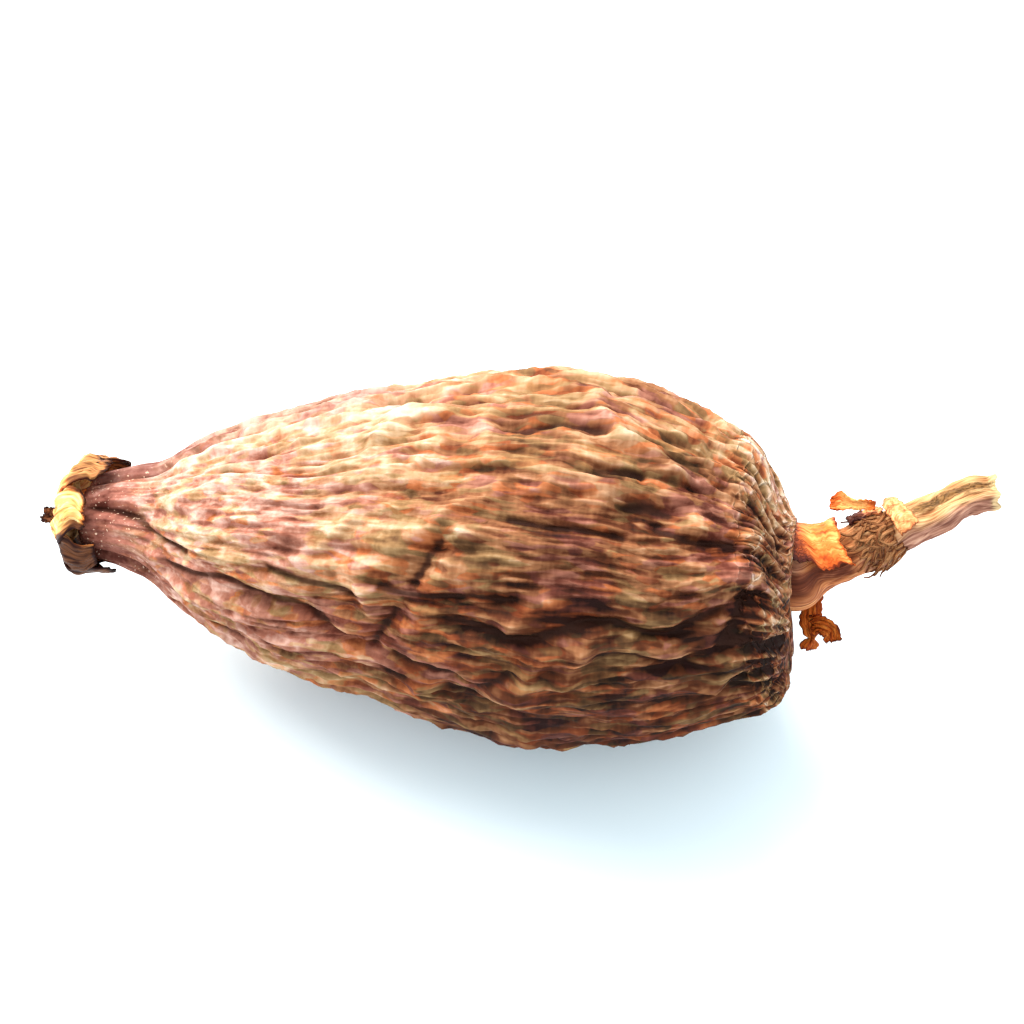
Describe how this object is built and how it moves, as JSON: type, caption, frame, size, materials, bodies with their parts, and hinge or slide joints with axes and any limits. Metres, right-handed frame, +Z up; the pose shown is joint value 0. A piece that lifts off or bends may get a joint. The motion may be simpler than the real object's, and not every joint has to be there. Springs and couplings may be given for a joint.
{
  "type": "dried alligator pepper pod",
  "caption": "Flask-shaped dried spice pod lying on its side, with a wrinkled skin, papery calyx remains on its neck and a broken stalk with torn bracts.",
  "frame": {"origin": "on the surface that the pod rests on, under the middle of the whole object's box", "axes": "+X along the pod from the neck with the calyx to the broad end with the stalk, +Z up from the surface, -Y towards the side that the picture shows"},
  "size_m": [0.0892, 0.0358, 0.0353],
  "materials": {
    "pod_skin": "dry wrinkled fruit skin, mottled brown, matt with a faint sheen on the ridges",
    "calyx_paper": "thin dry papery tissue, straw yellow, satin",
    "stalk": "dry fibrous stem, matt",
    "bract": "thin dry papery scale, orange brown, satin",
    "flap": "thin dry papery scale, pale tan, satin"
  },
  "bodies": {
    "root": {"pod": "pod_skin", "calyx": "calyx_paper", "stalk": "stalk", "sheathing_bract": "bract", "curled_bract": "bract", "hanging_bract": "bract", "node_flap": "flap"}
  },
  "joints": []
}
